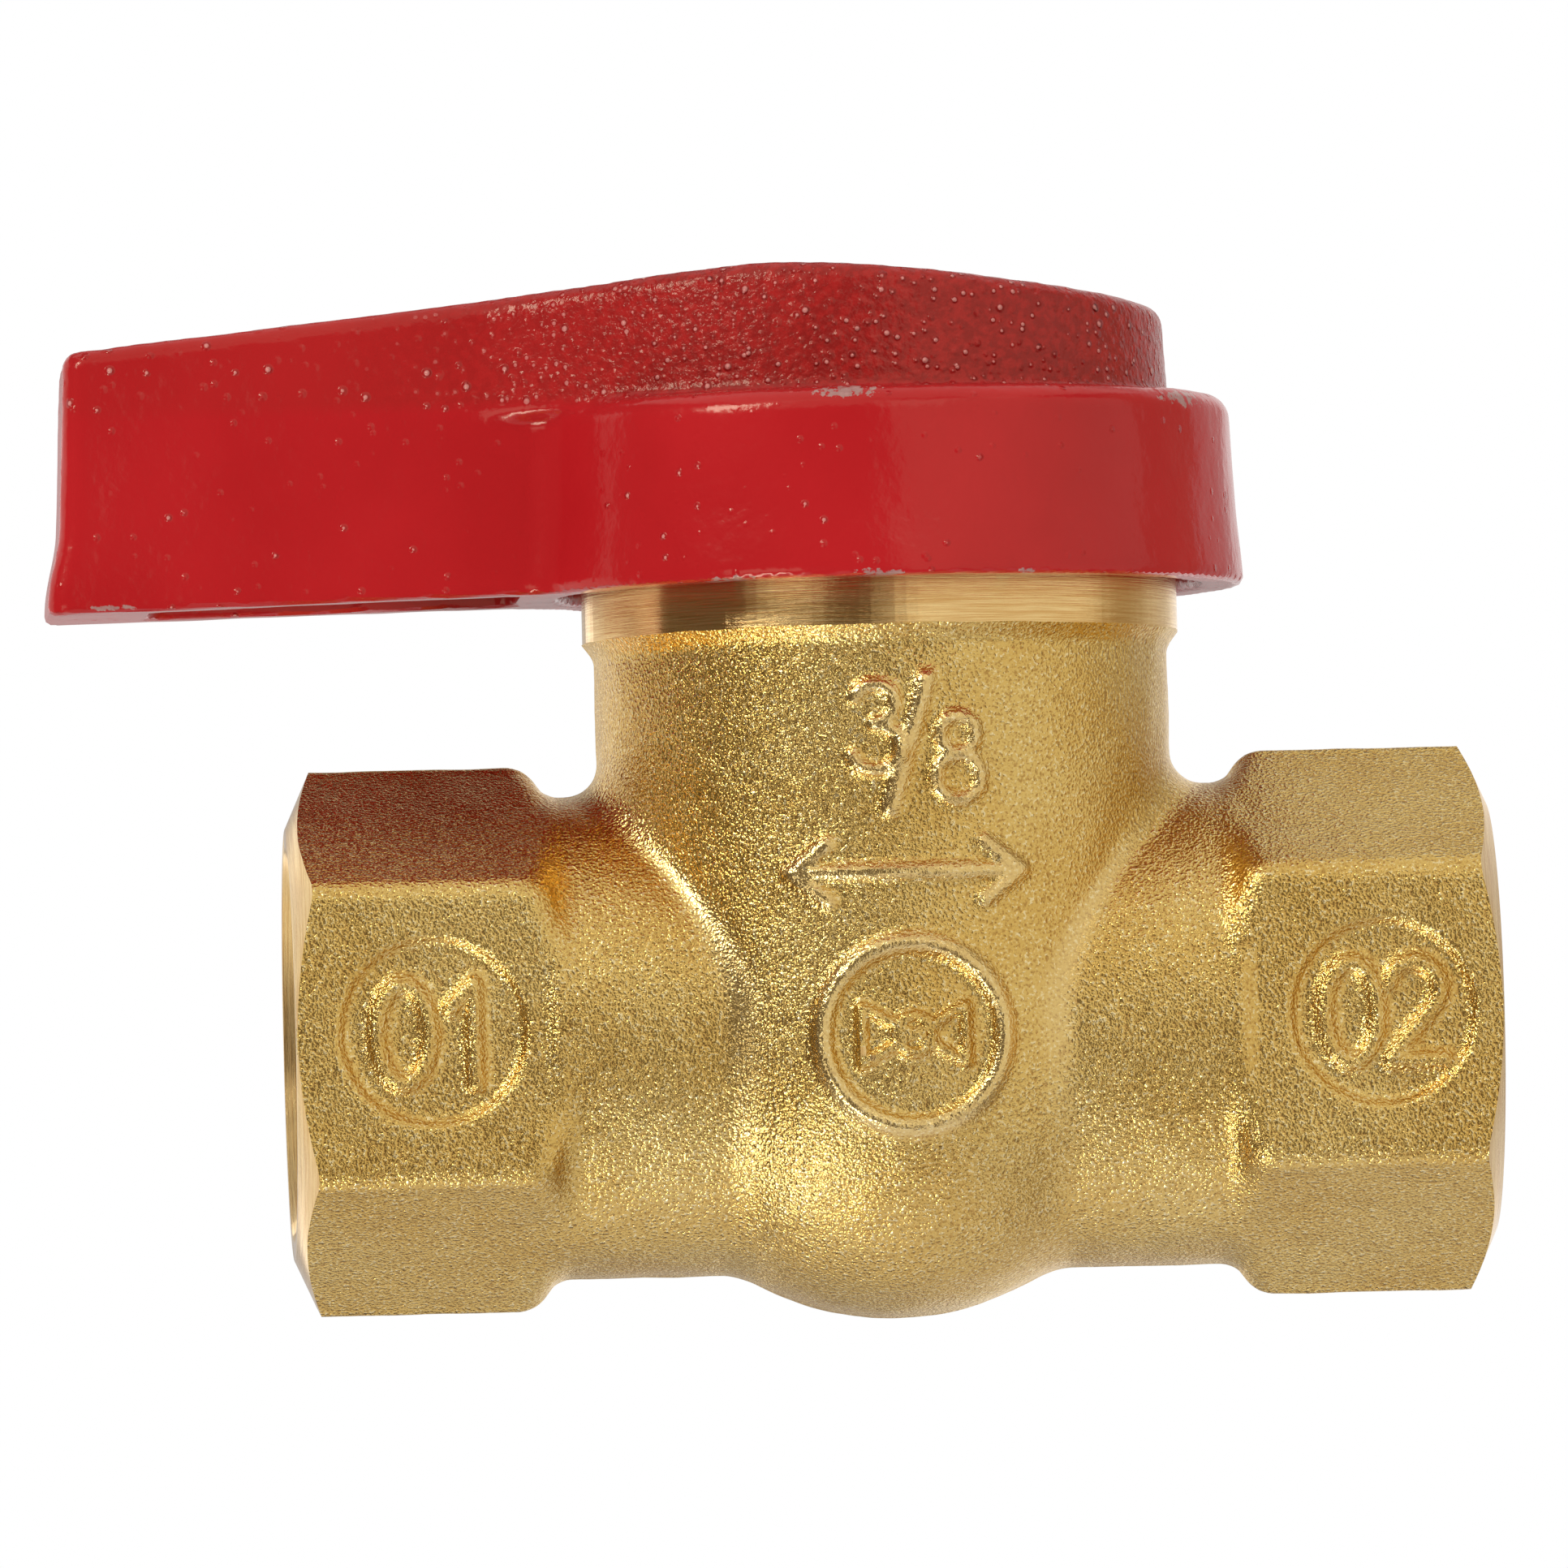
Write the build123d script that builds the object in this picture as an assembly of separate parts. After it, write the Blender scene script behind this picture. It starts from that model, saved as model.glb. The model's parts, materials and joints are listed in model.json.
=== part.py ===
"""3/8 inch ball valve: one-piece forged body, top-entry bonnet, quarter-turn lever handle.

The origin is the centre of the ball. X runs along the pipe, Z up the stem, and the handle
points to -X when the valve is open. All sizes are in millimetres.
"""

from build123d import *
import math
import os

# ---- driving dimensions ----------------------------------------------------------------
END_X = 26.65  # from the stem axis to each end face
HEX_AF = 21.0  # wrench size, across the sloping flats
FRONT_FLAT_Y = 9.75  # front and back flats, closer in than the sloping ones
BARREL_R = 10.65  # round barrel between the hexagons
NECK_R = 12.7  # forged neck and the sphere under it
BAND_R = 13.225  # turned band at the top of the neck
RIM_Z = 22.0  # top of the neck

# ends of the body
FACE_R = 9.6  # circle left on the end face by its chamfer
FACE_CHAMFER = 1.3
HEX_INNER_X = 16.2  # where the hexagon starts to slope down to the barrel
HEX_ROOT_X = 14.55
HEX_ROOT_R = 10.25
HEX_LIMIT_R = 12.22  # just outside the hexagon's corners
THREAD_R = 7.4  # plain bore that stands for the 3/8 NPT thread
THREAD_LENGTH = 10.4
MOUTH_R = 8.8
PORT_R = 4.3  # passage between the thread and the chamber
DRILL_POINT = 1.6

# neck
FLARE_Z = 16.1
BAND_Z = 17.45
BAND_UNDERCUT = 0.05
BAND_UNDERCUT_WIDTH = 0.15
CHAMBER_R = 10.25
SEAT_FACE_X = 8.3  # flat faces of the chamber that the seats bear on
BONNET_SEAT_Z = 13.0
BONNET_THREAD_R = 10.8
THREAD_GAP = 0.05  # radial gap between plain surfaces that stand for mating threads
RIM_CHAMFER = 0.4
BONNET_LEAD_IN = 0.4
STOP_HEIGHT = 2.2
STOP_INNER_R = 11.0
STOP_OUTER_R = 13.1

# marks on the front of the forging
PANEL_R = 3.6
PANEL_DEPTH = 0.35
MARK_X = 21.2  # centre of the mark on each hexagon

# ball, seats and stem
BALL_R = 7.2
BALL_PORT_R = 4.0
SLOT_WIDTH = 3.0
SLOT_FLOOR_Z = 5.4
SEAT_R = 5.9
SEAT_INNER_R = 4.2
SEAT_FRONT_X = 4.6
SEAT_GAP = 0.01  # between the ball and the seat's spherical face
SEAT_RING_R = 5.05
SEAT_RING_SECTION_R = 0.4
SEAT_GROOVE_SPARE = 0.05
STEM_R = 4.0
RUNNING_GAP = 0.05
TANG_THICKNESS = 2.9
TANG_R = 7.0  # the tang's end is round, to stay inside the ball's own sphere
TANG_HALF_LENGTH = 3.6
TANG_FLOOR_Z = 5.5
COLLAR_R = 5.2
COLLAR_CHAMFER = 0.3
COLLAR_Z = (8.2, 10.4)
THRUST_WASHER_TOP_Z = 11.0
STEM_RING_Z = (14.2, 17.4)
STEM_GROOVE_R = 2.9
STEM_GROOVE_WIDTH = 1.5
STEM_RING_SECTION_R = 0.565
STEM_SHOULDER_Z = 22.4
STEM_TOP_Z = 28.5
STEM_SQUARE = 6.0
SQUARE_GAP = 0.025
STEM_TAP_R = 2.0
STEM_TAP_FLOOR_Z = 19.6

# bonnet
BONNET_FOOT_Z = 9.6
BONNET_TOP_Z = 21.6
BONNET_PILOT_R = 10.2
BONNET_PILOT_CHAMFER = 0.4
BONNET_TOP_CHAMFER = 0.5
BONNET_POCKET_R = 5.5
BONNET_RING_Z = 11.4
BONNET_RING_SECTION_R = 0.64
BONNET_GROOVE_DEPTH = 1.25
BONNET_GROOVE_WIDTH = 1.7
SPANNER_HOLE_R = 1.3
SPANNER_HOLE_AT_R = 7.4
SPANNER_HOLE_DEPTH = 3.0

# handle
HANDLE_Z = 19.45
LEDGE_Z = 27.85
SKIRT_FOOT_R = 16.1
SKIRT_LEDGE_R = 15.75
SKIRT_CHAMFER = 0.6
TIER_R = 13.0
BLADE_TIP_X = -37.0
BLADE_ROOT = (-15.4, 6.3)  # where the blade's side leaves the round part, and its half width
BLADE_TIP_HALF_WIDTH = 4.9
BLADE_TIP_CORNER_R = 1.4
POCKET_CORNER_R = 0.4
TOP_TIP = (-36.1, 30.7)  # (x, z) points of the top line, from the tip to the far side
TOP_RISE = (-10.0, 33.2)
TOP_CREST = (-3.2, 33.65)
TOP_FALL = (4.0, 32.85)
TOP_END = (13.2, 31.4)
WALL = 1.8
ROOF = 2.2
CUP_ROOF_Z = 25.85
UPPER_HOLLOW_R = 11.0
HUB_R = 7.3
SCREW_RECESS_R = 5.2
SCREW_RECESS_Z = 28.9
RIB_ANGLE = 135.0  # the stop rib's place when the valve is open
RIB_HALF_ANGLE = 9.0
RIB_INNER_R = 11.3
RIB_FOOT_Z = 22.4
TURN = 90.0
STOP_GAP_ANGLE = 0.4

# fastener
WASHER_R = 4.4
WASHER_HOLE_R = 2.15
FLAT_WASHER_HEIGHT = 0.8
SPRING_WASHER_R = 3.6
SPRING_WASHER_HEIGHT = 1.0
SPRING_WASHER_SPLIT = 0.6
SPRING_WASHER_SLANT = 30.0
SPRING_WASHER_TURN = 40.0
SCREW_R = 1.98
SCREW_LENGTH = 10.0
SCREW_CHAMFER = 0.4
SCREW_HEAD_R = 3.9
SCREW_HEAD_SHOULDER = (3.4, 1.9)  # (radius, height) points of the pan head's crown
SCREW_HEAD_CROWN = (2.5, 2.4)
SCREW_HEAD_RIM = 1.2
DRIVE_WIDTH = 0.9
DRIVE_LENGTH = 4.2
DRIVE_DEPTH = 1.5

FAR = 60.0  # larger than any part
CLEAR = 1.0  # how far a tool runs past the surface that it cuts, or a solid into its neighbour

# ---- helpers ---------------------------------------------------------------------------


def turned(points):
    """A solid of revolution about Z from (radius, z) points."""
    return revolve(Plane.XZ * make_face(Polyline(*points, close=True)), axis=Axis.Z)


def turned_x(points):
    """A solid of revolution about X from (x, radius) points."""
    return revolve(make_face(Polyline(*points, close=True)), axis=Axis.X)


def ring(inner_r, outer_r, low_z, high_z):
    """A plain ring about Z."""
    return turned([(inner_r, low_z), (outer_r, low_z), (outer_r, high_z), (inner_r, high_z)])


def rod(radius, low_z, high_z):
    """A round bar along Z."""
    return Pos(0, 0, (low_z + high_z) / 2) * Cylinder(radius, high_z - low_z)


def rod_x(radius, low_x, high_x):
    """A round bar along X."""
    return Pos((low_x + high_x) / 2, 0, 0) * Rot(0, 90, 0) * Cylinder(radius, high_x - low_x)


def block(low, high):
    """A box between two corners."""
    size = [b - a for a, b in zip(low, high)]
    middle = [(a + b) / 2 for a, b in zip(low, high)]
    return Pos(*middle) * Box(*size)


def sector(inner_r, outer_r, low_z, high_z, start, end):
    """A ring about Z between two angles in degrees."""
    steps = max(2, math.ceil((end - start) / 30))
    angles = [math.radians(start + (end - start) * i / steps) for i in range(steps + 1)]
    reach = 2 * outer_r
    rays = [(reach * math.cos(a), reach * math.sin(a)) for a in angles]
    wedge = extrude(make_face(Polyline((0, 0), *rays, close=True)), high_z - low_z)
    return ring(inner_r, outer_r, low_z, high_z) & (Pos(0, 0, low_z) * wedge)


def both_ends(shape):
    """The shape and its copy at the other end of the pipe axis."""
    return shape + Rot(0, 0, 180) * shape


# ---- body ------------------------------------------------------------------------------


def hexagon_end():
    """One wrench hexagon, with its end chamfer and its slope down to the barrel."""
    flats = RegularPolygon(HEX_AF / 2, 6, major_radius=False)
    prism = Pos(HEX_ROOT_X, 0, 0) * Rot(0, 90, 0) * extrude(flats, END_X - HEX_ROOT_X)
    prism &= block((0, -FRONT_FLAT_Y, -FAR), (FAR, FRONT_FLAT_Y, FAR))
    limits = turned_x(
        [
            (HEX_ROOT_X, 0),
            (HEX_ROOT_X, HEX_ROOT_R),
            (HEX_INNER_X, HEX_LIMIT_R),
            (END_X - FACE_CHAMFER, HEX_LIMIT_R),
            (END_X, FACE_R),
            (END_X, 0),
        ]
    )
    return prism & limits


def forging():
    """The outside of the body before machining."""
    barrel = rod_x(BARREL_R, -HEX_INNER_X - CLEAR, HEX_INNER_X + CLEAR)
    round_part = Sphere(NECK_R) + rod(NECK_R, 0, BAND_Z) + barrel
    flare = turned(
        [
            (0, FLARE_Z),
            (NECK_R, FLARE_Z),
            (BAND_R - BAND_UNDERCUT, BAND_Z - BAND_UNDERCUT_WIDTH),
            (BAND_R - BAND_UNDERCUT, BAND_Z),
            (BAND_R, BAND_Z),
            (BAND_R, RIM_Z - RIM_CHAMFER),
            (BAND_R - RIM_CHAMFER, RIM_Z),
            (0, RIM_Z),
        ]
    )
    return round_part + flare + both_ends(hexagon_end())


def port():
    """The threaded port and the passage to the chamber, at the +X end."""
    floor_x = END_X - THREAD_LENGTH
    mouth_depth = MOUTH_R - THREAD_R
    return turned_x(
        [
            (0, 0),
            (0, PORT_R),
            (floor_x - DRILL_POINT, PORT_R),
            (floor_x, THREAD_R),
            (END_X - mouth_depth, THREAD_R),
            (END_X, MOUTH_R),
            (END_X + CLEAR, MOUTH_R),
            (END_X + CLEAR, 0),
        ]
    )


def chamber():
    """The space for the ball and seats, with a flat face behind each seat."""
    round_space = rod(CHAMBER_R, 0, BONNET_SEAT_Z) + Sphere(CHAMBER_R)
    limits = block((-SEAT_FACE_X, -FAR, -FAR), (SEAT_FACE_X, FAR, BONNET_SEAT_Z))
    lead_in = rod(CHAMBER_R, BONNET_FOOT_Z - BONNET_LEAD_IN, BONNET_SEAT_Z)
    threaded = rod(BONNET_THREAD_R + THREAD_GAP, BONNET_SEAT_Z, RIM_Z + STOP_HEIGHT + CLEAR)
    return (round_space & limits) + lead_in + threaded


def stop_arc():
    """The raised arc on the rim that stops the handle's rib at each end of its turn."""
    spare = RIB_HALF_ANGLE + STOP_GAP_ANGLE
    start = RIB_ANGLE + spare
    end = RIB_ANGLE - TURN - spare + 360
    return sector(STOP_INNER_R, STOP_OUTER_R, RIM_Z - CLEAR, RIM_Z + STOP_HEIGHT, start, end)


def sunk_panels():
    """Sunk round panels on the front: one on each hexagon and one at the middle."""
    from_face = (Align.CENTER, Align.CENTER, Align.MIN)
    column = Rot(90, 0, 0) * Cylinder(PANEL_R, NECK_R, align=from_face)
    panels = [Pos(x, PANEL_DEPTH - FRONT_FLAT_Y, 0) * column for x in (-MARK_X, MARK_X)]
    shell = Sphere(NECK_R + CLEAR) - Sphere(NECK_R - PANEL_DEPTH)
    return panels + [Pos(0, -FRONT_FLAT_Y, 0) * column & shell]


def valve_body():
    """The forging with its ports, chamber, stop arc and marks."""
    body = forging() + stop_arc()
    body -= chamber()
    body -= port()
    body -= Rot(0, 0, 180) * port()
    for panel in sunk_panels():
        body -= panel
    return body


# ---- ball, seats, stem and bonnet ------------------------------------------------------


def ball():
    """The bored ball, with a slot across its top for the stem's tang."""
    bored = Sphere(BALL_R) - rod_x(BALL_PORT_R, -FAR, FAR)
    slot = block((-SLOT_WIDTH / 2, -FAR, SLOT_FLOOR_Z), (SLOT_WIDTH / 2, FAR, FAR))
    return bored - slot


def seat():
    """The seat at the +X side, with a groove in its back for the backing ring."""
    face_r = BALL_R + SEAT_GAP
    bore_edge = (math.sqrt(face_r**2 - SEAT_INNER_R**2), SEAT_INNER_R)
    front_edge = (SEAT_FRONT_X, math.sqrt(face_r**2 - SEAT_FRONT_X**2))
    middle = math.atan2(bore_edge[1], bore_edge[0]) / 2 + math.atan2(*front_edge[::-1]) / 2
    between = (face_r * math.cos(middle), face_r * math.sin(middle))
    half_width = SEAT_RING_SECTION_R + SEAT_GROOVE_SPARE
    groove_x = SEAT_FACE_X - 2 * SEAT_RING_SECTION_R - SEAT_GROOVE_SPARE
    rest = Polyline(
        front_edge,
        (SEAT_FRONT_X, SEAT_R),
        (SEAT_FACE_X, SEAT_R),
        (SEAT_FACE_X, SEAT_RING_R + half_width),
        (groove_x, SEAT_RING_R + half_width),
        (groove_x, SEAT_RING_R - half_width),
        (SEAT_FACE_X, SEAT_RING_R - half_width),
        (SEAT_FACE_X, SEAT_INNER_R),
        bore_edge,
    )
    section = make_face([ThreePointArc(bore_edge, between, front_edge), rest])
    return revolve(section, axis=Axis.X)


def seat_backing_ring():
    """The rubber ring in the back of the +X seat."""
    ring_x = SEAT_FACE_X - SEAT_RING_SECTION_R
    return Pos(ring_x, 0, 0) * Rot(0, 90, 0) * Torus(SEAT_RING_R, SEAT_RING_SECTION_R)


def stem():
    """The stem: tang, collar, two ring grooves, square end and tapped hole."""
    half_groove = STEM_GROOVE_WIDTH / 2
    outline = [
        (0, COLLAR_Z[0]),
        (COLLAR_R - COLLAR_CHAMFER, COLLAR_Z[0]),
        (COLLAR_R, COLLAR_Z[0] + COLLAR_CHAMFER),
        (COLLAR_R, COLLAR_Z[1]),
        (STEM_R, COLLAR_Z[1]),
    ]
    for z in STEM_RING_Z:
        outline += [
            (STEM_R, z - half_groove),
            (STEM_GROOVE_R, z - half_groove),
            (STEM_GROOVE_R, z + half_groove),
            (STEM_R, z + half_groove),
        ]
    outline += [(STEM_R, STEM_SHOULDER_Z), (0, STEM_SHOULDER_Z)]
    half_square = STEM_SQUARE / 2
    square = block(
        (-half_square, -half_square, STEM_SHOULDER_Z - CLEAR),
        (half_square, half_square, STEM_TOP_Z),
    )
    half_tang = TANG_THICKNESS / 2
    tang = block(
        (-half_tang, -TANG_HALF_LENGTH, TANG_FLOOR_Z),
        (half_tang, TANG_HALF_LENGTH, COLLAR_Z[0] + CLEAR),
    )
    tang_neck = rod(COLLAR_R - COLLAR_CHAMFER, TANG_R - CLEAR, COLLAR_Z[0] + CLEAR)
    tang &= Sphere(TANG_R) + tang_neck
    squared = square & rod(STEM_R, STEM_SHOULDER_Z - CLEAR, STEM_TOP_Z)
    shape = turned(outline) + squared + tang
    return shape - rod(STEM_TAP_R, STEM_TAP_FLOOR_Z, FAR)


def stem_thrust_washer():
    """The plain washer between the stem's collar and the bonnet."""
    return ring(STEM_R + RUNNING_GAP, COLLAR_R, COLLAR_Z[1], THRUST_WASHER_TOP_Z)


def stem_o_ring(z):
    """One of the stem's two O-rings, squeezed between its groove and the bonnet."""
    middle_r = (STEM_GROOVE_R + STEM_R + RUNNING_GAP) / 2
    return Pos(0, 0, z) * Torus(middle_r, STEM_RING_SECTION_R)


def bonnet():
    """The screwed-in bonnet that holds the stem and closes the neck."""
    bore_r = STEM_R + RUNNING_GAP
    half_groove = BONNET_GROOVE_WIDTH / 2
    groove_r = BONNET_PILOT_R - BONNET_GROOVE_DEPTH
    shape = turned(
        [
            (BONNET_POCKET_R, BONNET_FOOT_Z),
            (BONNET_PILOT_R - BONNET_PILOT_CHAMFER, BONNET_FOOT_Z),
            (BONNET_PILOT_R, BONNET_FOOT_Z + BONNET_PILOT_CHAMFER),
            (BONNET_PILOT_R, BONNET_RING_Z - half_groove),
            (groove_r, BONNET_RING_Z - half_groove),
            (groove_r, BONNET_RING_Z + half_groove),
            (BONNET_PILOT_R, BONNET_RING_Z + half_groove),
            (BONNET_PILOT_R, BONNET_SEAT_Z),
            (BONNET_THREAD_R, BONNET_SEAT_Z),
            (BONNET_THREAD_R, BONNET_TOP_Z - BONNET_TOP_CHAMFER),
            (BONNET_THREAD_R - BONNET_TOP_CHAMFER, BONNET_TOP_Z),
            (bore_r + BONNET_TOP_CHAMFER, BONNET_TOP_Z),
            (bore_r, BONNET_TOP_Z - BONNET_TOP_CHAMFER),
            (bore_r, THRUST_WASHER_TOP_Z),
            (BONNET_POCKET_R, THRUST_WASHER_TOP_Z),
        ]
    )
    hole = rod(SPANNER_HOLE_R, BONNET_TOP_Z - SPANNER_HOLE_DEPTH, FAR)
    for side in (-1, 1):
        shape -= Pos(side * SPANNER_HOLE_AT_R, 0, 0) * hole
    return shape


def bonnet_o_ring():
    """The O-ring that seals the bonnet in the neck."""
    middle_r = (BONNET_PILOT_R - BONNET_GROOVE_DEPTH + CHAMBER_R) / 2
    return Pos(0, 0, BONNET_RING_Z) * Torus(middle_r, BONNET_RING_SECTION_R)


# ---- handle ----------------------------------------------------------------------------


def blade_outline(inset):
    """The blade seen from above: its sides widen from the tip and run into the tier's circle."""
    root_x, root_half = BLADE_ROOT
    distance = math.hypot(root_x, root_half)
    bearing = math.atan2(root_half, root_x)
    touch = bearing - math.acos(TIER_R / distance)
    tangent = (TIER_R * math.cos(touch), TIER_R * math.sin(touch))
    tip_half = BLADE_TIP_HALF_WIDTH - inset
    tip_x = BLADE_TIP_X + inset
    side = [
        (tip_x, tip_half),
        (root_x, root_half - inset),
        (tangent[0], tangent[1] - inset),
        (0, tangent[1] - inset),
    ]
    return [(x, -y) for x, y in side] + side[::-1]


def blade(low_z, corner_r, inset=0.0):
    """The blade as a prism, from low_z to well above the handle."""
    face = make_face(Polyline(*blade_outline(inset), close=True))
    corners = face.vertices().group_by(Axis.X)[0]
    return Pos(0, 0, low_z) * extrude(fillet(corners, corner_r), FAR)


def below_top(drop=0.0):
    """Everything under the handle's top line and behind its sloping tip, moved in by drop."""
    low = HANDLE_Z - 2 * CLEAR - ROOF
    tip_slope = (TOP_TIP[0] - BLADE_TIP_X) / (TOP_TIP[1] - HANDLE_Z)
    tip_foot = (BLADE_TIP_X - tip_slope * (HANDLE_Z - low), low)
    fall = (TOP_END[1] - TOP_FALL[1]) / (TOP_END[0] - TOP_FALL[0])
    far_end = (FAR, TOP_END[1] + fall * (FAR - TOP_END[0]))
    outline = [
        Line(TOP_TIP, TOP_RISE),
        ThreePointArc(TOP_RISE, TOP_CREST, TOP_FALL),
        Polyline(TOP_FALL, far_end, (FAR, low), tip_foot, TOP_TIP),
    ]
    profile = Plane.XZ * make_face(outline)
    return Pos(drop, 0, -drop) * extrude(profile, FAR, both=True)


def handle_outside():
    """The handle's outer shape: skirt, upper tier and blade."""
    skirt = turned(
        [
            (0, HANDLE_Z),
            (SKIRT_FOOT_R, HANDLE_Z),
            (SKIRT_LEDGE_R, LEDGE_Z - SKIRT_CHAMFER),
            (SKIRT_LEDGE_R - SKIRT_CHAMFER, LEDGE_Z),
            (0, LEDGE_Z),
        ]
    )
    tier = rod(TIER_R, LEDGE_Z - CLEAR, FAR)
    return skirt + ((tier + blade(HANDLE_Z, BLADE_TIP_CORNER_R)) & below_top())


def handle_hollow():
    """The cup over the neck, the hollow above it and the hollow of the blade."""
    low_z = HANDLE_Z - CLEAR
    cup = turned(
        [
            (0, low_z),
            (SKIRT_FOOT_R - WALL, low_z),
            (SKIRT_LEDGE_R - WALL, CUP_ROOF_Z),
            (0, CUP_ROOF_Z),
        ]
    )
    upper = rod(UPPER_HOLLOW_R, CUP_ROOF_Z - CLEAR, FAR) & below_top(ROOF)
    pocket = blade(low_z, POCKET_CORNER_R, WALL) & below_top(ROOF)
    pocket &= block((-FAR, -FAR, 0), (-SKIRT_FOOT_R, FAR, FAR))
    return [cup, upper, pocket]


def handle_hub():
    """The boss that fits the stem's square."""
    return rod(HUB_R, STEM_SHOULDER_Z, FAR) & below_top()


def stop_rib():
    """The rib inside the cup that meets the stop arc at each end of the turn."""
    outer_r = SKIRT_LEDGE_R - WALL / 2
    top_z = LEDGE_Z - ROOF / 2
    start = RIB_ANGLE - RIB_HALF_ANGLE
    return sector(RIB_INNER_R, outer_r, RIB_FOOT_Z, top_z, start, start + 2 * RIB_HALF_ANGLE)


def handle():
    """The hollow die-cast lever."""
    shape = handle_outside()
    for hollow in handle_hollow():
        shape -= hollow
    shape += handle_hub()
    shape += stop_rib()
    half_square = STEM_SQUARE / 2 + SQUARE_GAP
    square = block((-half_square, -half_square, 0), (half_square, half_square, FAR))
    shape -= square & rod(STEM_R + SQUARE_GAP, 0, FAR)
    return shape - rod(SCREW_RECESS_R, SCREW_RECESS_Z, FAR)


# ---- fastener --------------------------------------------------------------------------

FLAT_WASHER_TOP_Z = SCREW_RECESS_Z + FLAT_WASHER_HEIGHT
HEAD_Z = FLAT_WASHER_TOP_Z + SPRING_WASHER_HEIGHT


def flat_washer():
    """The flat washer on the floor of the screw recess."""
    return ring(WASHER_HOLE_R, WASHER_R, SCREW_RECESS_Z, FLAT_WASHER_TOP_Z)


def spring_washer():
    """The split spring washer, pressed flat."""
    whole = ring(WASHER_HOLE_R, SPRING_WASHER_R, FLAT_WASHER_TOP_Z, HEAD_Z)
    half = SPRING_WASHER_SPLIT / 2
    reach = SPRING_WASHER_R + CLEAR
    slit = Rot(SPRING_WASHER_SLANT, 0, 0) * block((0, -half, -reach), (reach, half, reach))
    return whole - Rot(0, 0, SPRING_WASHER_TURN) * Pos(0, 0, HEAD_Z) * slit


def handle_screw():
    """The pan-head machine screw, with a cross recess."""
    foot_z = HEAD_Z - SCREW_LENGTH
    crown_z = HEAD_Z + SCREW_HEAD_CROWN[1]
    shape = turned(
        [
            (0, foot_z),
            (SCREW_R - SCREW_CHAMFER, foot_z),
            (SCREW_R, foot_z + SCREW_CHAMFER),
            (SCREW_R, HEAD_Z),
            (SCREW_HEAD_R, HEAD_Z),
            (SCREW_HEAD_R, HEAD_Z + SCREW_HEAD_RIM),
            (SCREW_HEAD_SHOULDER[0], HEAD_Z + SCREW_HEAD_SHOULDER[1]),
            (SCREW_HEAD_CROWN[0], crown_z),
            (0, crown_z),
        ]
    )
    half = DRIVE_WIDTH / 2
    slot = block(
        (-DRIVE_LENGTH / 2, -half, crown_z - DRIVE_DEPTH),
        (DRIVE_LENGTH / 2, half, crown_z + CLEAR),
    )
    return shape - (slot + Rot(0, 0, 90) * slot)


# ---- write -----------------------------------------------------------------------------

PARTS = {
    "valve_body": valve_body,
    "ball": ball,
    "seat_outlet": seat,
    "seat_inlet": lambda: Rot(0, 0, 180) * seat(),
    "seat_ring_outlet": seat_backing_ring,
    "seat_ring_inlet": lambda: Rot(0, 0, 180) * seat_backing_ring(),
    "stem": stem,
    "stem_thrust_washer": stem_thrust_washer,
    "stem_o_ring_lower": lambda: stem_o_ring(STEM_RING_Z[0]),
    "stem_o_ring_upper": lambda: stem_o_ring(STEM_RING_Z[1]),
    "bonnet": bonnet,
    "bonnet_o_ring": bonnet_o_ring,
    "handle": handle,
    "flat_washer": flat_washer,
    "spring_washer": spring_washer,
    "handle_screw": handle_screw,
}

os.makedirs("parts", exist_ok=True)
for name, make in PARTS.items():
    shape = make()
    export_step(shape, f"parts/{name}.step")
    print(name, round(shape.volume, 1))
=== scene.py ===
"""Looks for the 3/8 inch ball valve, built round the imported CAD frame.

The forged body and the cast handle are meshed from distance fields, in millimetres, then cut
by turned and threaded tools. The other CAD pieces keep their meshes and get materials.
"""

import itertools
import json
import math

import bpy
import numpy as np
import openvdb
from mathutils import Matrix, Vector

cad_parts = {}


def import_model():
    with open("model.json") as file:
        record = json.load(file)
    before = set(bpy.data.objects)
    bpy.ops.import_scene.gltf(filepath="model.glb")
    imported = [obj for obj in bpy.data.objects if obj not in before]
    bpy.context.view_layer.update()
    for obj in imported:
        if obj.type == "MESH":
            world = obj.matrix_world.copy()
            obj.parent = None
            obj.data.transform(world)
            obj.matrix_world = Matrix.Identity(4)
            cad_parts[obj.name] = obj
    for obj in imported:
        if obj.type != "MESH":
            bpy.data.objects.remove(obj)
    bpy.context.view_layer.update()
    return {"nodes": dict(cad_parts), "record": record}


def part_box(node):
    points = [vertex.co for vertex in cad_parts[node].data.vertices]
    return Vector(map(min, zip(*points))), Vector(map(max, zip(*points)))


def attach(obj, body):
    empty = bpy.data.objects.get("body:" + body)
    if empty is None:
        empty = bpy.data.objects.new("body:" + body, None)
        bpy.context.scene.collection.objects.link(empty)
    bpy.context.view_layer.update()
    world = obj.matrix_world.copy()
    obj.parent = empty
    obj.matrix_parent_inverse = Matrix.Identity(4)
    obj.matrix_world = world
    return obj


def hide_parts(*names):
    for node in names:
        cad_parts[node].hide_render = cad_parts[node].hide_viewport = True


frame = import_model()

MM = 0.001

# ---- sizes, in millimetres, from the frame where it has them ------------------------------


def box_mm(node):
    """The lowest and highest corner of a CAD node, in millimetres."""
    low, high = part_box(node)
    return [value / MM for value in low], [value / MM for value in high]


MOUNTS = {mount["name"]: mount for mount in frame["record"]["mounts"]}
BODY_LOW, BODY_HIGH = box_mm("valve_body")
HANDLE_LOW, HANDLE_HIGH = box_mm("handle")
BONNET_LOW, BONNET_HIGH = box_mm("bonnet")

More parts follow.
